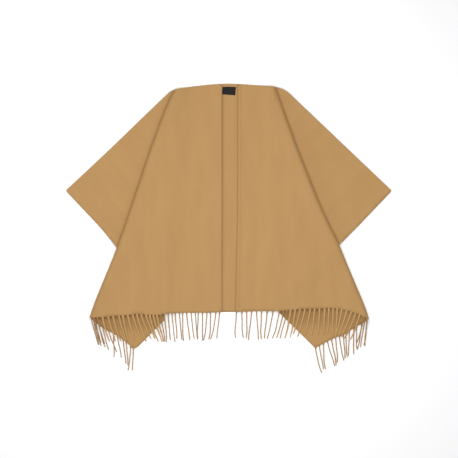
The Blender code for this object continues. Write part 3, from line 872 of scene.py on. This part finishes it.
LABEL_TURN = Matrix.Translation((*LABEL_CENTRE, 0)) @ Matrix.Rotation(LABEL_TILT, 4, "Z")
LABEL_TURN = LABEL_TURN @ Matrix.Translation((-LABEL_CENTRE[0], -LABEL_CENTRE[1], 0))
mesh = label_mesh("neck_label_woven")
mesh.transform(LABEL_TURN)
label = new_piece("neck_label_woven", mesh, label_look())
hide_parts("neck_label")


# Stitching.
# Matching thread, a lockstitch 3.2 mm long, holds the turned hem along both
# edges of the opening, and black thread holds the two ends of the label.
STITCH = 0.0032
STITCH_GAP = 0.0008
STITCH_START = 0.004
STITCH_RISE = 0.00025
STITCH_RINGS = 6
STITCH_OFF_CLOTH = 0.0001
THREAD = 0.00032
THREAD_SIDES = 6
LABEL_STITCH = 0.0018
LABEL_STITCH_STEP = 0.0023
LABEL_STITCH_INSIDE = 0.0018
LABEL_STITCH_FROM = -0.0115
LABEL_STITCH_TO = 0.0095
LABEL_STITCH_OFF = 0.0003


def thread_look(name, dark, light):
    material, tree, shader = new_material(name)
    place = add_node(tree, "ShaderNodeTexCoord")
    ply = add_node(tree, "ShaderNodeTexNoise", {"Vector": place.outputs["Object"], "Scale": 2500.0})
    set_inputs(tree, shader, {"Base Color": mixed(tree, ply.outputs["Fac"], dark, light),
                              "Roughness": 0.6})
    return material


def join_rings(shape, rings):
    """The skin of a thread or strand over its rings, closed at both ends."""
    for near, far in zip(rings, rings[1:]):
        for c in range(len(near)):
            d = (c + 1) % len(near)
            shape.faces.new((near[c], near[d], far[d], far[c]))
    shape.faces.new(rings[0][::-1])
    shape.faces.new(rings[-1])


def add_stitch(shape, start, end):
    """One stitch: a short bowed thread whose ends dip into the cloth."""
    start, end = Vector(start), Vector(end)
    along = (end - start).normalized()
    aside = along.cross(Vector((0, 0, 1))).normalized()
    rings = []
    for k in range(STITCH_RINGS):
        share = k / (STITCH_RINGS - 1)
        arch = math.sin(share * math.pi)
        centre = start.lerp(end, share) + Vector((0, 0, STITCH_RISE * (2 * arch - 1)))
        size = THREAD * (0.55 + 0.45 * arch)
        ring = []
        for c in range(THREAD_SIDES):
            angle = 2 * math.pi * c / THREAD_SIDES
            spot = centre + aside * (math.cos(angle) * size)
            spot += Vector((0, 0, math.sin(angle) * size))
            ring.append(shape.verts.new(spot))
        rings.append(ring)
    join_rings(shape, rings)


def stitched_line(name, runs, material):
    shape = bmesh.new()
    for run in runs:
        for start, end in run:
            add_stitch(shape, start, end)
    return new_piece(name, finished_mesh(name, shape), material)


hem_runs = []
for side in (LEFT, RIGHT):
    line = stitch_line(side)
    starts = np.arange(STITCH_START, distances(line)[-1] - STITCH, STITCH + STITCH_GAP)
    ends = []
    for at in (starts, starts + STITCH):
        flat = place_along(line, at)
        high = layer_heights(flat)[5] + CLOTH_THICK / 2 + STITCH_OFF_CLOTH
        ends.append(np.column_stack([flat, high]))
    hem_runs.append(list(zip(*ends)))
camel_thread = thread_look("camel_thread", (0.36, 0.205, 0.08), (0.46, 0.27, 0.11))
opening_stitches = stitched_line("opening_stitches", hem_runs, camel_thread)

label_runs = []
for end_x in (-1, 1):
    x = LABEL_CENTRE[0] + end_x * (LABEL_SIZE[0] / 2 - LABEL_STITCH_INSIDE)
    z = BACK_TOP + LABEL_THICK + LABEL_STITCH_OFF
    starts = np.arange(LABEL_CENTRE[1] + LABEL_STITCH_FROM, LABEL_CENTRE[1] + LABEL_STITCH_TO,
                       LABEL_STITCH_STEP)
    label_runs.append([((x, y, z), (x, y + LABEL_STITCH, z)) for y in starts])
black_thread = thread_look("black_thread", (0.004, 0.004, 0.004), (0.014, 0.013, 0.013))
label_stitches = stitched_line("label_stitches", label_runs, black_thread)
label_stitches.data.transform(LABEL_TURN)


# The twisted fringe.
# The cloth's own warp ends, left long at the front hems, are rolled together into
# two-ply strands about 80 to 100 mm long, thinner towards their tips. Those that
# lie on a corner are looser and wider.
STRAND_THICK = 0.0035
STRAND_TURN = 0.013
STRAND_RINGS = 44
STRAND_SIDES = 10
STRAND_CURVE = 1.25
STRAND_HALF = 0.46
STRAND_ROUND = 0.92

# On a corner: width, share of its height, and how much thinner at the tip
LOOSE_WIDE = 0.0074
LOOSE_FLAT = 0.62
LOOSE_TAPER = 0.48

# The plies: shape, painted shade in their groove, tone of tight and loose strands; grain
LOBE_ROUND = 0.90
LOBE_DEEP = 0.17
LOBE_PAINTED_SHADE = 0.25
TIGHT_SHADE = 0.25
LOOSE_SHADE = 0.75
YARN_UNEVEN = 0.05
YARN_UNEVEN_RATE = 310
YARN_GRAIN = (160, 0.8, 400)
YARN_APART = 7
YARN_DARK = (0.255, 0.139, 0.050)
YARN_LIGHT = (0.585, 0.352, 0.146)

# The root in the hem and the thin tip, mostly as shares of the strand
ROOT_INSIDE = 0.0014
ROOT_LOOK = 0.004
ROOT_SHARE = 0.14
ROOT_SPREAD = 0.9
ROOT_FLAT = 0.45
ROOT_EASE = 0.10
TIP_FROM = 0.95
TIP_THINNER = 0.55

# What the strands lie on: the floor, past the cloth's edge, or a corner's strands
STRAND_LOW = 0.0002
STRAND_FALL = 0.035
OVER_CORNER = 0.0036
CORNER_EASE = 0.012
CORNER_STRANDS_LONG = 0.100
CORNER_STRANDS_FADE = 0.020

# How uneven they are
FIRST_SEED = 21
LEAN_UNEVEN = 0.0015
LENGTH_UNEVEN = (0.91, 1.03)
WIDTH_UNEVEN = (0.92, 1.08)
BOW_UNEVEN = 0.0028

# A strand for each row: its place across the hem, and how far right its tip leans
FRINGES = {
    "left_front": {
        "line": LEFT["front_hem"], "side": -1, "level": 5, "length": 0.098,
        "strands": ((-0.4750, 0.026), (-0.4664, 0.025), (-0.4540, 0.024), (-0.4361, 0.025),
                    (-0.4171, 0.026), (-0.3992, 0.028), (-0.3805, 0.026), (-0.3657, 0.018),
                    (-0.3498, 0.022), (-0.3329, 0.029), (-0.3181, 0.034), (-0.3033, 0.035),
                    (-0.2874, 0.033), (-0.2736, 0.030), (-0.2619, 0.030), (-0.2491, 0.023),
                    (-0.2353, 0.015), (-0.2229, 0.008), (-0.2098, 0.007), (-0.1967, 0.010),
                    (-0.1863, 0.008), (-0.1715, 0.007), (-0.1601, 0.002), (-0.1470, 0.011),
                    (-0.1308, 0.011), (-0.1170, 0.006), (-0.1056, -0.003), (-0.0918, -0.001),
                    (-0.0773, -0.011), (-0.0649, -0.006), (-0.0462, -0.019), (-0.0324, -0.011)),
    },
    "right_front": {
        "line": RIGHT["front_hem"], "side": 1, "level": 5, "length": 0.098,
        "strands": ((0.0258, -0.007), (0.0442, 0.002), (0.0597, -0.001), (0.0776, -0.011),
                    (0.0938, 0.007), (0.1118, -0.003), (0.1314, -0.012), (0.1508, -0.019),
                    (0.1718, -0.024), (0.1873, -0.024), (0.1994, -0.024), (0.2115, -0.020),
                    (0.2270, -0.016), (0.2439, -0.022), (0.2608, -0.024), (0.2788, -0.018),
                    (0.2946, -0.012), (0.3112, -0.006), (0.3288, -0.006), (0.3426, -0.006),
                    (0.3581, -0.002), (0.3719, -0.006), (0.3867, -0.020), (0.4043, -0.028),
                    (0.4202, -0.034), (0.4340, -0.036), (0.4478, -0.030), (0.4616, -0.020),
                    (0.4740, -0.010)),
    },
    "left_corner": {
        "line": LEFT["corner_hem"], "side": 1, "level": 4, "length": 0.085,
        "strands": ((-0.4680, 0.018), (-0.4595, 0.019), (-0.4475, 0.019), (-0.4354, 0.020),
                    (-0.4164, 0.030), (-0.4006, 0.004), (-0.3867, 0.016), (-0.3667, 0.011),
                    (-0.3560, 0.006), (-0.3402, -0.007), (-0.3302, -0.004)),
    },
    "right_corner": {
        "line": RIGHT["corner_hem"], "side": -1, "level": 4, "length": 0.090,
        "strands": ((0.2984, 0.020), (0.3112, 0.013), (0.3260, 0.006), (0.3391, 0.025),
                    (0.3529, 0.017), (0.3667, 0.008), (0.3805, 0.014), (0.3936, 0.005),
                    (0.4033, 0.002), (0.4154, -0.004), (0.4302, -0.002), (0.4409, -0.002),
                    (0.4564, -0.014), (0.4670, -0.016), (0.4755, -0.009)),
    },
}


def yarn_look():
    """Camel yarn: two twisted plies, with painted shade in the groove between them."""
    material, tree, shader = new_material("camel_yarn")
    place = add_node(tree, "ShaderNodeAttribute", attribute_name="yarn_place")
    fibre = add_node(tree, "ShaderNodeTexNoise",
                     {"Vector": place.outputs["Vector"], "Scale": 9.0, "Detail": 5.0})
    tone_and_painted_groove = add_node(tree, "ShaderNodeAttribute", attribute_name="ply")
    both = blended(tree, fibre.outputs["Fac"], 0.55, tone_and_painted_groove.outputs["Fac"], 0.45)
    set_inputs(tree, shader, {
        "Base Color": mixed(tree, both, YARN_DARK, YARN_LIGHT),
        "Normal": bumped(tree, fibre.outputs["Fac"], 0.5, 0.0003),
        "Roughness": 0.88, "Specular IOR Level": 0.25,
        "Sheen Weight": 0.2, "Sheen Tint": CAMEL_SHEEN})
    return material


CAMEL_YARN = yarn_look()


def corner_strands(points):
    """One where a corner's own strands lie below, easing off at their ends."""
    best = np.zeros(len(points))
    for side in (LEFT, RIGHT):
        hem = side["corner_hem"]
        rising = hem[np.argsort(hem[:, 0])]
        below = np.interp(points[:, 0], rising[:, 0], rising[:, 1]) - points[:, 1]
        past_tip = (hem[-1, 0] - points[:, 0]) * side["out"]
        weight = np.clip(1 + below / CORNER_EASE, 0, 1)
        weight *= np.clip((CORNER_STRANDS_LONG - below) / CORNER_STRANDS_FADE, 0, 1)
        best = np.maximum(best, weight * np.clip(1 - past_tip / CORNER_EASE, 0, 1))
    return best


def lying_on(level, points):
    """What strands lie on: a layer of cloth, the corner's own strands or the floor."""
    heights = layer_heights(points)
    gap = np.full(len(points), 1.0)
    for outline in (BACK, LEFT["under"], RIGHT["under"]):
        gap = np.minimum(gap, distance_to(points, closed(outline)) * ~within(points, outline))
    share = np.clip(1 - gap / STRAND_FALL, 0, 1)
    settled = share * share * (3 - 2 * share)
    low, under = (STRAND_LOW + (heights[n] - CLOTH_THICK / 2 - STRAND_LOW) * settled
                  for n in (level, 4))
    if level == 5:
        low = np.maximum(low, under + OVER_CORNER * corner_strands(points))
    return low, heights[level]


def twist_strand(shape, tone_and_painted_groove_shade, places, path, phase, wide, loose):
    """One two-ply strand along its path, gathered at the root and thin at the tip."""
    flat, taper = (LOOSE_FLAT, LOOSE_TAPER) if loose else (1.0, 0.0)
    spread = 0.0 if loose else ROOT_SPREAD
    shade = LOOSE_SHADE if loose else TIGHT_SHADE
    rings = []
    run = 0.0
    for k, centre in enumerate(path):
        ahead = path[min(k + 1, len(path) - 1)] - path[max(k - 1, 0)]
        ahead /= np.linalg.norm(ahead)
        aside = np.array((ahead[1], -ahead[0], 0.0))
        aside /= np.linalg.norm(aside)
        up = np.cross(aside, ahead)
        if k:
            run += np.linalg.norm(centre - path[k - 1])
        share = k / (len(path) - 1)
        size = wide / 2 * (1.0 - taper * share)
        size *= 1.0 - TIP_THINNER * max(0.0, (share - TIP_FROM) / (1 - TIP_FROM)) ** 2
        size *= 1.0 + YARN_UNEVEN * math.sin(run * YARN_UNEVEN_RATE + phase)
        root = max(0.0, 1 - share / ROOT_SHARE) ** 2
        ring = []
        for c in range(STRAND_SIDES):
            angle = 2 * math.pi * c / STRAND_SIDES
            lobe = math.cos(2 * (angle - 2 * math.pi * run / STRAND_TURN) + phase)
            reach = size * (LOBE_ROUND + LOBE_DEEP * lobe)
            spot = centre + reach * (1 + spread * root) * math.cos(angle) * aside
            spot = spot + reach * (STRAND_ROUND - ROOT_FLAT * root) * flat * math.sin(angle) * up
            ring.append(shape.verts.new(spot))
            # Painted shade in the groove between the plies, on a darker tone for tight strands
            tone_and_painted_groove_shade.append(shade + LOBE_PAINTED_SHADE * lobe)
            places.append((phase * YARN_APART + run * YARN_GRAIN[0],
                           angle * YARN_GRAIN[1], size * YARN_GRAIN[2]))
        rings.append(ring)
    join_rings(shape, rings)


def make_fringe(name, row, seed):
    """A row of strands, each from its root in the hem down to its own tip."""
    rng = random.Random(seed)
    line, level = row["line"], row["level"]
    along = distances(line)
    order = np.argsort(line[:, 0])
    roots, tips, bows = [], [], []
    for x, lean in row["strands"]:
        at = np.interp(x, line[order, 0], along[order])
        root = place_along(line, at)
        heading = root - place_along(line, at - ROOT_LOOK)
        heading /= np.linalg.norm(heading)
        out = np.array((heading[1], -heading[0])) * row["side"]
        lean += rng.uniform(-LEAN_UNEVEN, LEAN_UNEVEN)
        reach = row["length"] * rng.uniform(*LENGTH_UNEVEN)
        roots.append(root - out * ROOT_INSIDE)
        tips.append(root + np.array((lean, -math.sqrt(reach ** 2 - lean ** 2))))
        bows.append(rng.uniform(-BOW_UNEVEN, BOW_UNEVEN))
    shape = bmesh.new()
    tone_and_painted_groove_shade, places = [], []
    shares = np.linspace(0, 1, STRAND_RINGS)
    ease = np.clip(shares / ROOT_EASE, 0, 1)
    ease = ease * ease * (3 - 2 * ease)
    flats = []
    for root, tip, bow in zip(roots, tips, bows):
        run = tip - root
        aside = np.array((-run[1], run[0])) / np.linalg.norm(run)
        curve = bow * np.sin(shares * math.pi) + 0.3 * bow * np.sin(shares * 3 * math.pi + 1)
        steps = np.stack([shares ** STRAND_CURVE, shares], axis=1)
        flats.append(root + steps * run + (curve - curve[0])[:, None] * aside)
    rests, starts = lying_on(level, np.vstack(flats))
    middles = np.array([flat[STRAND_RINGS // 3] for flat in flats])
    on_corner = within(middles, LEFT["under"]) | within(middles, RIGHT["under"])
    for i, flat in enumerate(flats):
        loose = level == 5 and on_corner[i]
        wide = (LOOSE_WIDE if loose else STRAND_THICK) * rng.uniform(*WIDTH_UNEVEN)
        own = slice(i * STRAND_RINGS, (i + 1) * STRAND_RINGS)
        half = STRAND_HALF * wide * (LOOSE_FLAT if loose else 1.0)
        half = half * (1 - LOOSE_TAPER * loose * shares)
        high = starts[own][0] * (1 - ease) + (rests[own] + half) * ease
        twist_strand(shape, tone_and_painted_groove_shade, places, np.column_stack([flat, high]),
                     rng.uniform(0, 6.28), wide, loose)
    mesh = finished_mesh(name, shape)
    # Painted groove shade and strand tone, read by the yarn's colour
    ply = mesh.attributes.new("ply", "FLOAT", "POINT")
    ply.data.foreach_set("value", tone_and_painted_groove_shade)
    place = mesh.attributes.new("yarn_place", "FLOAT_VECTOR", "POINT")
    place.data.foreach_set("vector", [c for p in places for c in p])
    return mesh


for seed, (where, row) in enumerate(FRINGES.items()):
    mesh = make_fringe(f"{where}_strands", row, FIRST_SEED + seed)
    strands = new_piece(f"{where}_strands", mesh, CAMEL_YARN)
    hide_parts(f"{where}_fringe")


# The studio.
# The poncho lies on a plain white floor and is photographed straight down
# through a long lens, under a large soft light above it and a weaker one from
# the left.
FLOOR_HALF = 30.0
FLOOR_LOW = -0.0003
VIEW_WIDTH = 1.580
CAMERA_HIGH = 6.0
SENSOR_WIDTH = 36.0

mesh = bpy.data.meshes.new("floor")
mesh.from_pydata([(x * FLOOR_HALF, y * FLOOR_HALF, FLOOR_LOW)
                  for x, y in ((-1, -1), (1, -1), (1, 1), (-1, 1))], [], [(0, 1, 2, 3)])
floor = bpy.data.objects.new("floor", mesh)
bpy.context.scene.collection.objects.link(floor)
white, tree, shader = new_material("white_floor")
set_inputs(tree, shader, {"Base Color": (0.98, 0.98, 0.98, 1), "Roughness": 0.9})
mesh.materials.append(white)


def soft_light(name, place, size, watts):
    data = bpy.data.lights.new(name, "AREA")
    data.shape = "DISK"
    data.size = size
    data.energy = watts
    light = bpy.data.objects.new(name, data)
    light.location = place
    light.rotation_euler = (-Vector(place)).to_track_quat("-Z", "Y").to_euler()
    bpy.context.scene.collection.objects.link(light)


soft_light("side_light", (-3.0, 0.5, 1.9), 1.2, 22)
soft_light("overhead_light", (0.02, 0.04, 1.9), 1.8, 29.0)
world = bpy.data.worlds.new("studio")
world.use_nodes = True
set_inputs(world.node_tree, world.node_tree.nodes["Background"],
           {"Color": (1, 1, 1, 1), "Strength": 0.47})
bpy.context.scene.world = world
bpy.context.scene.view_settings.view_transform = "Standard"

camera_data = bpy.data.cameras.new("camera")
camera_data.sensor_width = SENSOR_WIDTH
camera_data.lens = SENSOR_WIDTH * CAMERA_HIGH / VIEW_WIDTH
camera_data.clip_end = 100
camera = bpy.data.objects.new("camera", camera_data)
camera.location = (-0.0007, -0.0014, CAMERA_HIGH)
bpy.context.scene.collection.objects.link(camera)
bpy.context.scene.camera = camera
